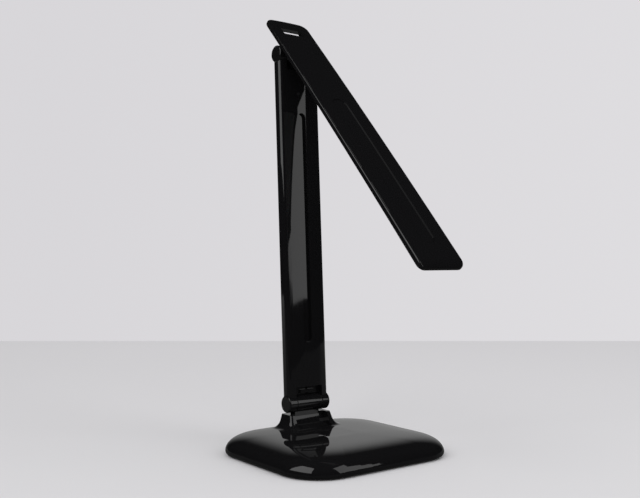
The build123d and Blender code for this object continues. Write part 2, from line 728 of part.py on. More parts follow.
# Light engine, from the top down: reflector, guide and diffuser, with a row of chips along each side
reflector_top = head_top_wall + stack_gap
guide_top = reflector_top + reflector_thickness + stack_gap
flange_bottom = bottom_top - stack_gap
diffuser = window(-head_fit, flange_bottom, head_thickness - diffuser_set)
diffuser += window(diffuser_flange, flange_bottom - diffuser_flange_thickness, flange_bottom)
save("diffuser", head_place, diffuser)


def lit_layer(depth, thickness, x_from, x_to):
    return layer(depth, depth + thickness, x_from, x_to, -diffuser_end, -diffuser_start)


save("reflector_sheet", head_place, lit_layer(reflector_top, reflector_thickness, -guide_half, guide_half))
save("light_guide", head_place, lit_layer(guide_top, guide_thickness, -guide_half, guide_half))
strip_x = guide_half + strip_gap
rail_x = strip_x + strip_thickness + stack_gap / 2
strip = lit_layer(reflector_top, strip_height, strip_x, strip_x + strip_thickness)
rail = lit_layer(reflector_top, strip_height, rail_x, rail_x + rail_thickness)
save("led_strips", head_place, *both_sides(strip))
save("heat_rails", head_place, *both_sides(rail))
chips = []
chip_count = int((diffuser_end - diffuser_start) / chip_pitch)
chip_depth = guide_top + (guide_thickness - chip_height) / 2
chip_x = strip_x - chip_thickness
for k in range(chip_count):
    y = -(diffuser_start + diffuser_end) / 2 + (k - (chip_count - 1) / 2) * chip_pitch
    chip = layer(chip_depth, chip_depth + chip_height, chip_x, strip_x, y - chip_length / 2, y + chip_length / 2)
    chips += both_sides(chip)
save("led_chips", head_place, *chips)

link_end = -diffuser_start + link_gap
link_half = strip_x + strip_thickness
link = layer(reflector_top, reflector_top + link_thickness, -link_half, link_half, link_end, link_end + link_length)
save("link_board", head_place, link)
head_lead_z = bracket_high - head_lead_radius + 0.6
head_lead = Pos(0, 0, head_lead_z) * rod_y(head_lead_radius, link_end + link_length + lead_clear, -bracket_front - lead_clear)
save("head_lead", head_place, head_lead)
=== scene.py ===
import json
import math

import bmesh
import bpy
from mathutils import Matrix, Vector


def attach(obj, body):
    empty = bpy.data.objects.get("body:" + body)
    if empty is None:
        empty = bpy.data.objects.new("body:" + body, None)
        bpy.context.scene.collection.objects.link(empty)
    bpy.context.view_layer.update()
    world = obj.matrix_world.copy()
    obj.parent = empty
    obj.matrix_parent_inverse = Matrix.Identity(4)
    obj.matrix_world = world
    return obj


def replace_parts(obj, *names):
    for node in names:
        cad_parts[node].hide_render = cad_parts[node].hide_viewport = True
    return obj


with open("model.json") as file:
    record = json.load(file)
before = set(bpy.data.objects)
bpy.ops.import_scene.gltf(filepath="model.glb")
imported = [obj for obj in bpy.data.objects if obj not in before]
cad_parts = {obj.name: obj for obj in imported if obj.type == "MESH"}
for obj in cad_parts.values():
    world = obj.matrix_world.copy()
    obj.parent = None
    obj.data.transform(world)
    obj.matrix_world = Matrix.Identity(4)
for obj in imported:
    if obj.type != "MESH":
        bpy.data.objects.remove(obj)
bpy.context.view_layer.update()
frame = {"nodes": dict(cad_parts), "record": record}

scene = bpy.context.scene
nodes = frame["nodes"]


def towards(azimuth, elevation):
    # azimuth 0 is straight in front of the lamp, and 90 to its right
    a, e = math.radians(azimuth), math.radians(elevation)
    return Vector((math.sin(a) * math.cos(e), -math.cos(a) * math.cos(e), math.sin(e)))


def addNode(tree, kind, inputs=None, **settings):
    node = tree.nodes.new(kind)
    for key, value in settings.items():
        setattr(node, key, value)
    for key, value in (inputs or {}).items():
        if isinstance(value, bpy.types.NodeSocket):
            tree.links.new(value, node.inputs[key])
        else:
            node.inputs[key].default_value = value
    return node


def calc(tree, operation, first, second=0.0, clamp=False):
    node = addNode(tree, "ShaderNodeMath", {0: first, 1: second}, operation=operation, use_clamp=clamp)
    return node.outputs[0]


def dot(tree, first, second):
    node = addNode(tree, "ShaderNodeVectorMath", {0: first, 1: second}, operation="DOT_PRODUCT")
    return node.outputs["Value"]


def scaled(tree, colour, factor):
    node = addNode(tree, "ShaderNodeVectorMath", {0: colour, "Scale": factor}, operation="SCALE")
    return node.outputs["Vector"]


def blendColours(tree, factor, first, second):
    mixer = addNode(tree, "ShaderNodeMix", {"Factor": factor}, data_type="RGBA")
    for socket, colour in ((mixer.inputs[6], first), (mixer.inputs[7], second)):
        if isinstance(colour, bpy.types.NodeSocket):
            tree.links.new(colour, socket)
        else:
            socket.default_value = (*colour[:3], 1)
    return mixer.outputs[2]


def remap(tree, value, given, wanted=(0.0, 1.0)):
    inputs = {"Value": value, "From Min": given[0], "From Max": given[1],
              "To Min": wanted[0], "To Max": wanted[1]}
    return addNode(tree, "ShaderNodeMapRange", inputs).outputs["Result"]


def noise(tree, place, scale, detail=2.0, roughness=0.5, distortion=0.0):
    inputs = {"Vector": place, "Scale": scale, "Detail": detail, "Roughness": roughness,
              "Distortion": distortion}
    return addNode(tree, "ShaderNodeTexNoise", inputs).outputs["Fac"]


def cells(tree, place, scale, randomness=1.0, **settings):
    inputs = {"Vector": place, "Scale": scale, "Randomness": randomness}
    return addNode(tree, "ShaderNodeTexVoronoi", inputs, **settings).outputs["Distance"]


# The photograph's camera: metres, degrees, and millimetres for lens and film
view = {
    "place": (-0.4905, -0.6277, 0.18164),
    "turn": -37.05,  # below zero is clockwise from above
    "tilt": 0.62,  # above level
    "lens": 48.12,
    "film": 36.0,
}
across = towards(90 + view["turn"], 0)
ahead = towards(180 + view["turn"], 0)


def placeCamera():
    data = bpy.data.cameras.new("photo_camera")
    data.lens = view["lens"]
    data.sensor_width = view["film"]
    camera = bpy.data.objects.new("photo_camera", data)
    scene.collection.objects.link(camera)
    camera.location = view["place"]
    camera.rotation_euler = (math.radians(90 + view["tilt"]), 0, math.radians(view["turn"]))
    scene.camera = camera


# Each panel stands away from the middle of the lamp; its dark back looks to an azimuth and an elevation
panelCentre = Vector((0, 0, 0.15))
softboxes = {
    "frontPanel": {"azimuth": 27.2, "elevation": 21.5, "distance": 2.1, "width": 1.0, "height": 1.88,
                   "back": (27.2, 43.7), "level": 1.25},
    "leftPanel": {"azimuth": -80.0, "elevation": 49.0, "distance": 1.39, "width": 1.0, "height": 1.6,
                  "back": (-90.0, 0.0), "level": 1.9},
}


def placeSoftbox(name, box):
    data = bpy.data.lights.new(name, "AREA")
    data.shape = "RECTANGLE"
    data.size = box["width"]
    data.size_y = box["height"]
    data.energy = box["level"] * math.pi * box["width"] * box["height"]
    panel = bpy.data.objects.new(name, data)
    scene.collection.objects.link(panel)
    panel.location = towards(box["azimuth"], box["elevation"]) * box["distance"] + panelCentre
    panel.rotation_euler = towards(*box["back"]).to_track_quat("Z", "Y").to_euler()
    panel.visible_camera = False


# Backdrop: the camera sees it with painted light, shaded darker at the left and lit lighter at the right;
# plain surfaces get soft light, and gloss mirrors one round glow
wall = {
    # painted light: the backdrop is shaded darker at the left and lit lighter at the right
    "leftShadedBackdrop": (0.688, 0.676, 0.699),
    "rightLitBackdrop": (0.735, 0.724, 0.745),
    "colourSpan": (-0.3, 0.4),
    "ambientFront": 0.80,
    "ambientBehind": 0.34,
    "ambientSpan": (-0.8, 0.6),
    "ambientElevation": 30.0,
    "glowLevel": 0.47,
    "glowAzimuth": 140.0,
    "glowElevation": 8.0,
    "glowRadius": 41.0,
    "glowFade": 2.5,
}


def buildWorld():
    world = bpy.data.worlds.new("studio")
    world.use_nodes = True
    scene.world = world
    tree = world.node_tree
    tree.nodes.clear()
    direction = addNode(tree, "ShaderNodeTexCoord").outputs["Generated"]
    path = addNode(tree, "ShaderNodeLightPath").outputs

    # painted light falloff across the backdrop, from darker at the left to lighter at the right
    sideways = remap(tree, dot(tree, direction, across), wall["colourSpan"])
    backdrop = blendColours(tree, sideways, wall["leftShadedBackdrop"], wall["rightLitBackdrop"])

    fore = dot(tree, direction, towards(0, wall["ambientElevation"]))
    ambient = remap(tree, fore, wall["ambientSpan"], (wall["ambientBehind"], wall["ambientFront"]))

    nearness = dot(tree, direction, towards(wall["glowAzimuth"], wall["glowElevation"]))
    inside = remap(tree, nearness, (math.cos(math.radians(wall["glowRadius"])), 1.0))
    glow = calc(tree, "MULTIPLY", calc(tree, "POWER", inside, wall["glowFade"]), wall["glowLevel"])

    seen = calc(tree, "ADD", path["Is Camera Ray"], path["Is Transmission Ray"], clamp=True)
    colour = blendColours(tree, seen, ambient, backdrop)
    colour = blendColours(tree, path["Is Glossy Ray"], colour, glow)
    background = addNode(tree, "ShaderNodeBackground", {"Color": colour, "Strength": 1.0})
    addNode(tree, "ShaderNodeOutputWorld", {"Surface": background.outputs[0]})


# Table top: depths run level from the camera's foot, and its far edge is where the wall begins.
# The camera sees its full colour with painted light, darker near the camera and at the left, lighter far off
# and at the right; plain surfaces get a share of it, and gloss mirrors a level of its own.
table = {
    "farEdge": 1.879,
    "nearEdge": -0.42,
    "halfWidth": 3.4,
    "cells": (12, 8),
    # painted light: colours and levels shade the table darker near and at the left, lighter far off and at
    # the right
    "nearShadedColour": (0.715, 0.708, 0.725),
    "farLitColour": (0.745, 0.735, 0.755),
    "leftPaintedLightLevel": 0.96,
    "rightPaintedLightLevel": 1.03,
    "farPaintedLightLevel": 1.05,
    "bounce": 0.3,
    # painted reflection: gloss sees the table as a glow, weak near the camera and stronger far off
    "paintedReflectionNear": 0.05,
    "paintedReflectionFar": 0.42,
    "rough": 0.9,
    # spans of depth and side, from the middle of the lamp's base
    "shadedColourDepth": (-0.3, 1.0),
    "paintedLightDepth": (-0.1, 0.9),
    "paintedReflectionDepth": (-0.05, 0.9),
    "paintedLightSide": (-0.3, 0.3),
}


def paleTable():
    material = bpy.data.materials.new("pale_table")
    material.use_nodes = True
    tree = material.node_tree
    tree.nodes.clear()
    place = addNode(tree, "ShaderNodeTexCoord").outputs["Object"]
    path = addNode(tree, "ShaderNodeLightPath").outputs
    depth = dot(tree, place, ahead)
    side = dot(tree, place, across)

    # painted light: the colour is shaded by depth, then lit lighter towards the right and far off
    farness = remap(tree, depth, table["shadedColourDepth"])
    colour = blendColours(tree, farness, table["nearShadedColour"], table["farLitColour"])
    nearPaintedLightLevel = remap(tree, side, table["paintedLightSide"], (table["leftPaintedLightLevel"], table["rightPaintedLightLevel"]))
    rise = calc(tree, "SUBTRACT", table["farPaintedLightLevel"], nearPaintedLightLevel)
    rise = calc(tree, "MULTIPLY", rise, remap(tree, depth, table["paintedLightDepth"]))
    level = calc(tree, "ADD", nearPaintedLightLevel, rise)
    seen = calc(tree, "MAXIMUM", path["Is Camera Ray"], table["bounce"])
    colour = scaled(tree, colour, calc(tree, "MULTIPLY", level, seen))
    paint = addNode(tree, "ShaderNodeBsdfPrincipled",
                    {"Base Color": colour, "Roughness": table["rough"], "Specular IOR Level": 0.0})

    # painted reflection: glossy rays see an emitted glow that grows with depth instead of the lit table
    paintedReflectionLevel = remap(tree, depth, table["paintedReflectionDepth"], (table["paintedReflectionNear"], table["paintedReflectionFar"]))
    glow = addNode(tree, "ShaderNodeEmission", {"Color": (1, 1, 1, 1), "Strength": paintedReflectionLevel})
    shader = addNode(tree, "ShaderNodeMixShader",
                     {0: path["Is Glossy Ray"], 1: paint.outputs[0], 2: glow.outputs[0]})
    addNode(tree, "ShaderNodeOutputMaterial", {"Surface": shader.outputs[0]})
    return material


def buildTable():
    bm = bmesh.new()
    alongX, alongY = table["cells"]
    bmesh.ops.create_grid(bm, x_segments=alongX, y_segments=alongY, size=0.5)
    length = table["farEdge"] - table["nearEdge"]
    bmesh.ops.scale(bm, vec=(table["halfWidth"] * 2, length, 1), verts=bm.verts)
    bmesh.ops.translate(bm, vec=(0, table["nearEdge"] + length / 2, 0), verts=bm.verts)
    bmesh.ops.rotate(bm, matrix=Matrix.Rotation(math.radians(view["turn"]), 3, "Z"), verts=bm.verts)
    bmesh.ops.translate(bm, vec=(view["place"][0], view["place"][1], 0), verts=bm.verts)
    mesh = bpy.data.meshes.new("table_top")
    bm.to_mesh(mesh)
    bm.free()
    mesh.materials.append(paleTable())
    top = bpy.data.objects.new("table_top", mesh)
    scene.collection.objects.link(top)


placeCamera()
buildWorld()
buildTable()
for name, box in softboxes.items():
    placeSoftbox(name, box)
print("camera, table and lamps are in place")


# Shared surface effects are groups; each takes a place, then numbers or triples
def newGroup(name, inputs, outputs):
    group = bpy.data.node_groups.new(name, "ShaderNodeTree")
    group.interface.new_socket("Vector", in_out="INPUT", socket_type="NodeSocketVector")
    for label, value in inputs.items():
        kind = "NodeSocketVector" if isinstance(value, tuple) else "NodeSocketFloat"
        group.interface.new_socket(label, in_out="INPUT", socket_type=kind).default_value = value
    for label in outputs:
        group.interface.new_socket(label, in_out="OUTPUT", socket_type="NodeSocketFloat")
    start = group.nodes.new("NodeGroupInput")
    end = group.nodes.new("NodeGroupOutput")
    return group, start.outputs, end.inputs


def useGroup(tree, group, place, inputs=None):
    return addNode(tree, "ShaderNodeGroup", {"Vector": place, **(inputs or {})}, node_tree=group).outputs


mould = {
    "inputs": {"Wave Scale": 45.0, "Wave Height": 2e-6, "Grain Scale": 2400.0, "Grain Height": 0.0},
    "wave": {"detail": 1.0},
    "grain": {"detail": 2.0, "roughness": 0.6},
}


def buildMouldGroup():
    # slow waves of a cooled moulding and the fine grain of its tool, as a height in metres
    group, given, result = newGroup("mould_surface", mould["inputs"], ["Height"])
    wave = noise(group, given["Vector"], given["Wave Scale"], **mould["wave"])
    grain = noise(group, given["Vector"], given["Grain Scale"], **mould["grain"])
    total = calc(group, "ADD", calc(group, "MULTIPLY", wave, given["Wave Height"]),
                 calc(group, "MULTIPLY", grain, given["Grain Height"]))
    group.links.new(total, result["Height"])
    return group


handling = {
    "inputs": {"Smear Scale": 22.0, "Smear Amount": 0.5, "Hairline Scale": 130.0, "Hairline Amount": 0.4},
    "smear": {"detail": 4.0, "roughness": 0.62, "distortion": 0.6},
    "smearSpan": (0.46, 0.72),
    "hairline": {"detail": 1.0, "roughness": 0.4},
    "hairlineSpan": (0.66, 0.74),
    "hairlineTurn": (0.3, 0.5, 0.9),
    "hairlineStretch": (1.0, 14.0, 5.0),
}


def buildHandlingGroup():
    # faint smears where hands have been, and short hairlines
    group, given, result = newGroup("handling_marks", handling["inputs"], ["Mask"])
    cloudy = noise(group, given["Vector"], given["Smear Scale"], **handling["smear"])
    smear = calc(group, "MULTIPLY", remap(group, cloudy, handling["smearSpan"]), given["Smear Amount"])
    drawn = addNode(group, "ShaderNodeMapping",
                    {"Vector": given["Vector"], "Rotation": handling["hairlineTurn"],
                     "Scale": handling["hairlineStretch"]}).outputs[0]
    lines = noise(group, drawn, given["Hairline Scale"], **handling["hairline"])
    hairline = remap(group, lines, handling["hairlineSpan"])
    hairline = calc(group, "MULTIPLY", hairline, given["Hairline Amount"])
    group.links.new(calc(group, "ADD", smear, hairline, clamp=True), result["Mask"])
    return group


dust = {
    "inputs": {"Speck Scale": 420.0, "Amount": 0.5},
    "speckEdge": (0.10, 0.04),
    "patches": {"scale": 60.0, "detail": 3.0},
    "patchLimit": 0.58,
}


def buildDustGroup():
    # single specks of dust, more of them in some places
    group, given, result = newGroup("dust_specks", dust["inputs"], ["Mask"])
    speck = remap(group, cells(group, given["Vector"], given["Speck Scale"]), dust["speckEdge"])
    patch = noise(group, given["Vector"], **dust["patches"])
    chosen = calc(group, "GREATER_THAN", patch, dust["patchLimit"])
    total = calc(group, "MULTIPLY", calc(group, "MULTIPLY", speck, chosen), given["Amount"])
    group.links.new(total, result["Mask"])
    return group


brushed = {
    "inputs": {"Stretch": (1.0, 60.0, 60.0), "Scale": 90.0},
    "lines": {"detail": 3.0, "roughness": 0.7},
}


def buildBrushedGroup():
    # long fine lines left by rolling or brushing along one axis
    group, given, result = newGroup("brushed_lines", brushed["inputs"], ["Mask"])
    drawn = addNode(group, "ShaderNodeMapping",
                    {"Vector": given["Vector"], "Scale": given["Stretch"]}).outputs[0]
    group.links.new(noise(group, drawn, given["Scale"], **brushed["lines"]), result["Mask"])
    return group


mouldGroup = buildMouldGroup()
handlingGroup = buildHandlingGroup()
dustGroup = buildDustGroup()
brushedGroup = buildBrushedGroup()


def startMaterial(name, colour):
    material = bpy.data.materials.new(name)
    material.use_nodes = True
    material.diffuse_color = (*colour, 1)
    tree = material.node_tree
    tree.nodes.clear()
    shader = addNode(tree, "ShaderNodeBsdfPrincipled")
    addNode(tree, "ShaderNodeOutputMaterial", {"Surface": shader.outputs[0]})
    place = addNode(tree, "ShaderNodeTexCoord").outputs["Object"]
    return material, tree, shader, place


def wire(tree, value, shader, socket):
    tree.links.new(value, shader.inputs[socket])


def bump(tree, height, shader):
    node = addNode(tree, "ShaderNodeBump", {"Height": height, "Strength": 1.0, "Distance": 1.0})
    wire(tree, node.outputs[0], shader, "Normal")


def soften(shader, weight, depth):
    shader.inputs["Subsurface Weight"].default_value = weight
    shader.inputs["Subsurface Scale"].default_value = depth


# In every look below, rough is a pair: where the mask that drives it is empty, and where it is full
whole = (0.0, 1.0)

glossBlack = {
    "colour": (0.0062, 0.0061, 0.0066),
    "dust": (0.018, 0.018, 0.018),
    "dustAmount": 0.35,
    "rough": (0.03, 0.09),
}


def makeGlossBlack():
    look = glossBlack
    material, tree, shader, place = startMaterial("gloss_black", look["colour"])
    specks = useGroup(tree, dustGroup, place, {"Amount": look["dustAmount"]})["Mask"]
    wire(tree, blendColours(tree, specks, look["colour"], look["dust"]), shader, "Base Color")
    marks = useGroup(tree, handlingGroup, place)["Mask"]
    wire(tree, remap(tree, marks, whole, look["rough"]), shader, "Roughness")
    bump(tree, useGroup(tree, mouldGroup, place)["Height"], shader)
    return material


matteBlack = {
    "colour": (0.014, 0.014, 0.015),
    "worn": (0.03, 0.03, 0.031),
    "hairlines": 0.6,
    "rough": (0.6, 0.42),
    "grain": {"Grain Scale": 2600.0, "Grain Height": 2.2e-5},
}


def makeMatteBlack():
    look = matteBlack
    material, tree, shader, place = startMaterial("matte_black", look["colour"])
    marks = useGroup(tree, handlingGroup, place, {"Hairline Amount": look["hairlines"]})["Mask"]
    wire(tree, blendColours(tree, marks, look["colour"], look["worn"]), shader, "Base Color")
    wire(tree, remap(tree, marks, whole, look["rough"]), shader, "Roughness")
    bump(tree, useGroup(tree, mouldGroup, place, look["grain"])["Height"], shader)
    return material


# Metal: lines left by rolling or turning, cloudy plating, and the odd dull spot
metals = {
    "screw_steel": {"colour": (0.50, 0.50, 0.52), "cloud": (0.40, 0.42, 0.46), "rough": (0.2, 0.38),
                    "lines": {"Stretch": (30.0, 30.0, 1.0), "Scale": 260.0}, "relief": 4e-6},
    "raw_steel": {"colour": (0.42, 0.42, 0.43), "cloud": (0.30, 0.285, 0.27), "rough": (0.3, 0.52),
                  "lines": {"Stretch": (1.0, 40.0, 40.0), "Scale": 120.0}, "relief": 8e-6},
    "rail_aluminium": {"colour": (0.74, 0.74, 0.75), "cloud": (0.66, 0.67, 0.69), "rough": (0.26, 0.4),
                       "lines": {"Stretch": (60.0, 1.0, 1.4), "Scale": 110.0}, "relief": 6e-6},
}
metalFinish = {
    "clouds": {"scale": 140.0, "detail": 4.0, "roughness": 0.6, "distortion": 0.4},
    "cloudSpan": (0.4, 0.7),
    "lineSpan": (0.3, 0.7),
    "lineShade": (0.88, 1.06),
    "smearScale": 60.0,
    "dullShare": 0.5,
}


def makeMetal(name):
    look, finish = metals[name], metalFinish
    material, tree, shader, place = startMaterial(name, look["colour"])
    lines = useGroup(tree, brushedGroup, place, look["lines"])["Mask"]
    cloudy = remap(tree, noise(tree, place, **finish["clouds"]), finish["cloudSpan"])
    tone = blendColours(tree, cloudy, look["colour"], look["cloud"])
    shade = remap(tree, lines, finish["lineSpan"], finish["lineShade"])
    wire(tree, scaled(tree, tone, shade), shader, "Base Color")
    shader.inputs["Metallic"].default_value = 1.0
    marks = useGroup(tree, handlingGroup, place, {"Smear Scale": finish["smearScale"]})["Mask"]
    dull = calc(tree, "ADD", calc(tree, "MULTIPLY", cloudy, finish["dullShare"]),
                calc(tree, "MULTIPLY", marks, finish["dullShare"]), clamp=True)
    wire(tree, remap(tree, dull, whole, look["rough"]), shader, "Roughness")
    bump(tree, calc(tree, "MULTIPLY", lines, look["relief"]), shader)
    return material


# Plain plastics, rubber and film: two tones of one colour, a fine grain, marks of handling and dust
plains = {
    "pad_rubber": {"colour": (0.018, 0.018, 0.018), "cloud": (0.030, 0.029, 0.028),
                   "dust": (0.22, 0.21, 0.20), "specks": 0.5, "rough": (0.92, 0.72), "soft": 0.0,
                   "grain": {"Grain Scale": 1900.0, "Grain Height": 4e-5}},
    "lead_white": {"colour": (0.76, 0.76, 0.74), "cloud": (0.70, 0.69, 0.66),
                   "dust": (0.35, 0.33, 0.30), "specks": 0.4, "rough": (0.5, 0.32), "soft": 0.1,
                   "grain": {"Grain Scale": 900.0, "Grain Height": 6e-6}},
    "washer_white": {"colour": (0.72, 0.71, 0.67), "cloud": (0.66, 0.64, 0.58),
                     "dust": (0.30, 0.28, 0.25), "specks": 0.3, "rough": (0.48, 0.3), "soft": 0.15,
                     "grain": {"Grain Scale": 1500.0, "Grain Height": 5e-6}},
    "reflector_white": {"colour": (0.88, 0.88, 0.88), "cloud": (0.84, 0.84, 0.85),
                        "dust": (0.5, 0.5, 0.5), "specks": 0.2, "rough": (0.55, 0.35), "soft": 0.0,
                        "grain": {"Grain Scale": 2600.0, "Grain Height": 8e-6}},
}
plainFinish = {
    "clouds": {"scale": 55.0, "detail": 4.0, "roughness": 0.6},
    "cloudSpan": (0.35, 0.7),
    "speckScale": 700.0,
    "smearScale": 45.0,
    "softDepth": 0.001,
}


def makePlain(name):
    look, finish = plains[name], plainFinish
    material, tree, shader, place = startMaterial(name, look["colour"])
    cloudy = remap(tree, noise(tree, place, **finish["clouds"]), finish["cloudSpan"])
    tone = blendColours(tree, cloudy, look["colour"], look["cloud"])
    specks = {"Speck Scale": finish["speckScale"], "Amount": look["specks"]}
    specks = useGroup(tree, dustGroup, place, specks)["Mask"]
    wire(tree, blendColours(tree, specks, tone, look["dust"]), shader, "Base Color")
    marks = useGroup(tree, handlingGroup, place, {"Smear Scale": finish["smearScale"]})["Mask"]
    wire(tree, remap(tree, marks, whole, look["rough"]), shader, "Roughness")
    soften(shader, look["soft"], finish["softDepth"])
    bump(tree, useGroup(tree, mouldGroup, place, look["grain"])["Height"], shader)
    return material


# Circuit boards: copper tracks under the resist, rows of small tinned holes
boards = {
    "board_green": {"colour": (0.012, 0.115, 0.05), "track": (0.03, 0.20, 0.085), "tin": (0.55, 0.52, 0.42)},
    "board_white": {"colour": (0.82, 0.82, 0.81), "track": (0.72, 0.73, 0.74), "tin": (0.60, 0.55, 0.42)},
}
boardFinish = {
    "tinMetallic": 0.9,
    "smearScale": 70.0,
    "rough": (0.22, 0.4),
    "grain": {"Grain Scale": 1400.0, "Grain Height": 5e-6},
    "trackHeight": 2e-5,
}
tracks = {
    "inputs": {"Scale": 260.0},
    "bricks": {"Mortar Size": 0.035, "Mortar Smooth": 0.05, "Brick Width": 0.9, "Row Height": 0.22},
    "brickOffset": 0.37,
    "brickSquash": 1.6,
    "trackPatches": {"scale": 110.0, "detail": 2.0},
    "trackLimit": 0.46,
    "holeRandomness": 0.55,
    "holeEdge": (0.17, 0.12),
    "holePatches": {"scale": 170.0, "detail": 1.0},
    "holeLimit": 0.56,
}


def buildTrackGroup():
    group, given, result = newGroup("board_tracks", tracks["inputs"], ["Track", "Hole"])
    place, scale = given["Vector"], given["Scale"]
    bricks = addNode(group, "ShaderNodeTexBrick", {"Vector": place, "Scale": scale, **tracks["bricks"]},
                     offset=tracks["brickOffset"], squash=tracks["brickSquash"]).outputs["Fac"]
    drawn = calc(group, "GREATER_THAN", noise(group, place, **tracks["trackPatches"]), tracks["trackLimit"])
    group.links.new(calc(group, "MULTIPLY", bricks, drawn), result["Track"])
    hole = remap(group, cells(group, place, scale, tracks["holeRandomness"]), tracks["holeEdge"])
    drilled = calc(group, "GREATER_THAN", noise(group, place, **tracks["holePatches"]), tracks["holeLimit"])
    group.links.new(calc(group, "MULTIPLY", hole, drilled), result["Hole"])
    return group


trackGroup = buildTrackGroup()


def makeBoard(name):
    look, finish = boards[name], boardFinish
    material, tree, shader, place = startMaterial(name, look["colour"])
    printed = useGroup(tree, trackGroup, place)
    tone = blendColours(tree, printed["Track"], look["colour"], look["track"])
    wire(tree, blendColours(tree, printed["Hole"], tone, look["tin"]), shader, "Base Color")
    wire(tree, calc(tree, "MULTIPLY", printed["Hole"], finish["tinMetallic"]), shader, "Metallic")
    marks = useGroup(tree, handlingGroup, place, {"Smear Scale": finish["smearScale"]})["Mask"]
    wire(tree, remap(tree, marks, whole, finish["rough"]), shader, "Roughness")
    weave = useGroup(tree, mouldGroup, place, finish["grain"])["Height"]
    raised = calc(tree, "MULTIPLY", printed["Track"], finish["trackHeight"])
    bump(tree, calc(tree, "ADD", weave, raised), shader)
    return material


opal = {
    "colour": (0.42, 0.42, 0.415),
    "cloud": (0.39, 0.39, 0.385),
    "clouds": {"scale": 30.0, "detail": 3.0},
    "cloudSpan": (0.35, 0.65),
    "dust": (0.3, 0.29, 0.28),
    "dustAmount": 0.4,
    "rough": (0.5, 0.36),
    "soft": 0.25,
    "softDepth": 0.002,
    "beads": {"scale": 1300.0, "randomness": 0.15},
    "beadHeight": 3e-5,
}


def makeOpal():
    # frosted sheet with fine beads moulded into its face
    look = opal
    material, tree, shader, place = startMaterial("diffuser_white", look["colour"])
    cloudy = remap(tree, noise(tree, place, **look["clouds"]), look["cloudSpan"])
    tone = blendColours(tree, cloudy, look["colour"], look["cloud"])
    specks = useGroup(tree, dustGroup, place, {"Amount": look["dustAmount"]})["Mask"]
    wire(tree, blendColours(tree, specks, tone, look["dust"]), shader, "Base Color")
    marks = useGroup(tree, handlingGroup, place)["Mask"]
    wire(tree, remap(tree, marks, whole, look["rough"]), shader, "Roughness")
    soften(shader, look["soft"], look["softDepth"])
    beads = cells(tree, place, feature="SMOOTH_F1", **look["beads"])
    bump(tree, calc(tree, "MULTIPLY", beads, look["beadHeight"]), shader)
    return material


clear = {
    "colour": (0.93, 0.96, 0.955),
    "etched": (0.85, 0.86, 0.86),
    "dots": {"scale": 620.0, "randomness": 0.0},
    "dotEdge": (0.3, 0.24),
    "dotRough": 0.55,
    "dotHeight": -1e-5,
    "hairlines": 0.2,
    "markRough": 0.1,
    "smooth": 0.02,
    "transmission": (0.9, 0.35),
    "ior": 1.49,
}


def makeClear():
    # clear sheet with a grid of small etched dots that let the light out
    look = clear
    material, tree, shader, place = startMaterial("guide_clear", look["colour"])
    dots = remap(tree, cells(tree, place, **look["dots"]), look["dotEdge"])
    wire(tree, blendColours(tree, dots, look["colour"], look["etched"]), shader, "Base Color")
    marks = useGroup(tree, handlingGroup, place, {"Hairline Amount": look["hairlines"]})["Mask"]
    rough = calc(tree, "MAXIMUM", calc(tree, "MULTIPLY", dots, look["dotRough"]),
                 calc(tree, "MULTIPLY", marks, look["markRough"]))
    wire(tree, calc(tree, "MAXIMUM", rough, look["smooth"]), shader, "Roughness")
    wire(tree, remap(tree, dots, whole, look["transmission"]), shader, "Transmission Weight")
    shader.inputs["IOR"].default_value = look["ior"]
    bump(tree, calc(tree, "MULTIPLY", dots, look["dotHeight"]), shader)
    return material


chip = {
    "colour": (0.86, 0.70, 0.20),
    "pale": (0.93, 0.84, 0.45),
    # painted sheen: pale colour where the surface turns away from view
    "rim": (0.85, 0.85, 0.82),
    "rimBlend": 0.35,
    "rimSpan": (0.75, 0.95),
    "grain": {"scale": 2600.0, "detail": 3.0, "roughness": 0.7},
    "grainSpan": (0.35, 0.7),
    "grainHeight": 4e-6,
    "rough": (0.3, 0.5),
    "soft": 0.2,
    "softDepth": 0.0005,
}


def makeChip():
    # phosphor gel with a painted sheen: its colour turns pale where the surface turns away from view
    look = chip
    material, tree, shader, place = startMaterial("chip_yellow", look["colour"])
    grain = remap(tree, noise(tree, place, **look["grain"]), look["grainSpan"])
    tone = blendColours(tree, grain, look["colour"], look["pale"])
    # painted sheen from the surface's facing to the view, not a real pale frame
    edge = addNode(tree, "ShaderNodeLayerWeight", {"Blend": look["rimBlend"]}).outputs["Facing"]
    rim = remap(tree, edge, look["rimSpan"])
    wire(tree, blendColours(tree, rim, tone, look["rim"]), shader, "Base Color")
    wire(tree, remap(tree, grain, whole, look["rough"]), shader, "Roughness")
    soften(shader, look["soft"], look["softDepth"])
    bump(tree, calc(tree, "MULTIPLY", grain, look["grainHeight"]), shader)
    return material


finishes = {
    "gloss_black": makeGlossBlack(),
    "matte_black": makeMatteBlack(),
    "diffuser_white": makeOpal(),
    "guide_clear": makeClear(),
    "chip_yellow": makeChip(),
}
finishes.update({name: makeMetal(name) for name in metals})
finishes.update({name: makePlain(name) for name in plains})
finishes.update({name: makeBoard(name) for name in boards})
slotOf = {part["node"]: part["material_slot"] for part in frame["record"]["subparts"]}
for name, node in nodes.items():
    for slot in node.material_slots:
        slot.material = finishes[slotOf[name]]
print("materials are on")


# Pieces that show more than the plain solids do
pieces = {
    "facesDown": -0.99,  # a face's normal has at most this height
    "level": 1e-6,  # two points no further apart than this lie level
    "sharpAngle": 30.0,  # an edge that turns more than this stays crisp
    "bevelProfile": 0.5,  # round
}


def lowFace(bm):
    return max((f for f in bm.faces if f.normal.z < pieces["facesDown"]), key=lambda f: f.calc_area())


def edgesAlong(bm, axis):
    return [e for e in bm.edges if abs(e.verts[0].co[axis] - e.verts[1].co[axis]) > pieces["level"]]


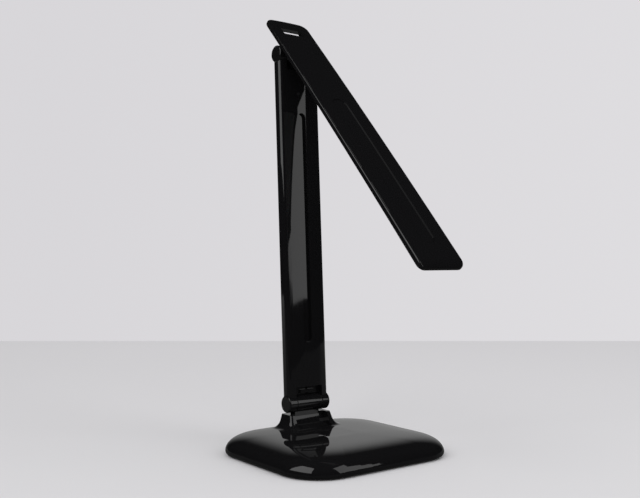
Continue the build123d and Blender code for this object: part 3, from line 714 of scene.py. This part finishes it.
def rounded(bm, edges, width, steps):
    bmesh.ops.bevel(bm, geom=edges, offset=width, offset_type="OFFSET", segments=steps,
                    profile=pieces["bevelProfile"], affect="EDGES", material=-1)


def putInOrder(elements, key):
    for rank, element in enumerate(sorted(elements, key=key)):
        element.index = rank
    elements.sort()


def steadyOrder(bm):
    # bevels and insets leave their points in an order that changes from run to run
    putInOrder(bm.verts, lambda v: v.co[:])
    putInOrder(bm.edges, lambda e: sorted(v.index for v in e.verts))
    putInOrder(bm.faces, lambda f: sorted(v.index for v in f.verts))


def makePiece(bm, name, body, slotName):
    mesh = bpy.data.meshes.new(name)
    for face in bm.faces:
        face.smooth = True
    steadyOrder(bm)
    bm.to_mesh(mesh)
    bm.free()
    mesh.set_sharp_from_angle(angle=math.radians(pieces["sharpAngle"]))
    mesh.materials.append(finishes[slotName])
    piece = bpy.data.objects.new(name, mesh)
    scene.collection.objects.link(piece)
    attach(piece, body)
    return piece


# Foot pad: corner and edge are roundings; each ring is a moulded groove, a pitch in from the last one
pad = {
    "width": 0.150,
    "depth": 0.130,
    "height": 0.0014,
    "corner": 0.030,
    "cornerSteps": 12,
    "edge": 0.0004,
    "edgeSteps": 2,
    "rings": 4,
    "pitch": 0.005,
    "groove": 0.0011,
    "sink": 0.00035,
    "draft": 0.00025,
}


def buildPad():
    bm = bmesh.new()
    bmesh.ops.create_cube(bm, size=1.0)
    bmesh.ops.scale(bm, vec=(pad["width"], pad["depth"], pad["height"]), verts=bm.verts)
    bmesh.ops.translate(bm, vec=(0, 0, pad["height"] / 2), verts=bm.verts)
    rounded(bm, edgesAlong(bm, 2), pad["corner"], pad["cornerSteps"])
    bm.normal_update()
    rounded(bm, list(lowFace(bm).edges), pad["edge"], pad["edgeSteps"])
    bm.normal_update()
    under = lowFace(bm)
    ring = ((pad["pitch"], 0), (pad["draft"], -pad["sink"]),
            (pad["groove"], 0), (pad["draft"], pad["sink"]))
    for width, rise in ring * pad["rings"]:
        bmesh.ops.inset_region(bm, faces=[under], thickness=width, depth=rise, use_even_offset=True)
    return makePiece(bm, "ribbed_pad", "base", "pad_rubber")


# Power inlet: its turned centre contact, and the bowed spring leaf under it
inlet = {
    "axisHeight": 0.0074,
    "pinInner": 0.0675,
    "pinOuter": 0.07395,
    "pinRadius": 0.00103,
    "pinSides": 32,
    "tipRound": 0.0004,
    "tipSteps": 4,
    "leafInner": 0.0676,
    "leafOuter": 0.0745,
    "leafWidth": 0.0016,
    "leafThickness": 0.00018,
    "leafDrop": 0.0025,
    "leafRise": 0.0007,
    "leafCuts": 9,
}


def buildInletPin():
    bm = bmesh.new()
    bmesh.ops.create_cone(bm, cap_ends=True, segments=inlet["pinSides"], radius1=inlet["pinRadius"],
                          radius2=inlet["pinRadius"], depth=inlet["pinOuter"] - inlet["pinInner"])
    end = max(bm.faces, key=lambda f: f.calc_center_median().z)
    rounded(bm, list(end.edges), inlet["tipRound"], inlet["tipSteps"])
    bmesh.ops.rotate(bm, matrix=Matrix.Rotation(math.radians(-90), 3, "X"), verts=bm.verts)
    middle = (inlet["pinOuter"] + inlet["pinInner"]) / 2
    bmesh.ops.translate(bm, vec=(0, middle, inlet["axisHeight"]), verts=bm.verts)
    return makePiece(bm, "inlet_centre_contact", "base", "screw_steel")


def buildInletLeaf():
    bm = bmesh.new()
    bmesh.ops.create_cube(bm, size=1.0)
    length = inlet["leafOuter"] - inlet["leafInner"]
    bmesh.ops.scale(bm, vec=(inlet["leafWidth"], length, inlet["leafThickness"]), verts=bm.verts)
    bmesh.ops.subdivide_edges(bm, edges=edgesAlong(bm, 1), cuts=inlet["leafCuts"], use_grid_fill=True)
    for vert in bm.verts:
        vert.co.z += inlet["leafRise"] * math.cos(math.pi * vert.co.y / length)
    place = (0, (inlet["leafOuter"] + inlet["leafInner"]) / 2, inlet["axisHeight"] - inlet["leafDrop"])
    bmesh.ops.translate(bm, vec=place, verts=bm.verts)
    return makePiece(bm, "inlet_spring_leaf", "base", "screw_steel")


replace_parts(buildPad(), "non_slip_pad")
buildInletPin()
buildInletLeaf()
print("pad and inlet are on")

bpy.context.view_layer.update()
scene.view_settings.view_transform = "Standard"
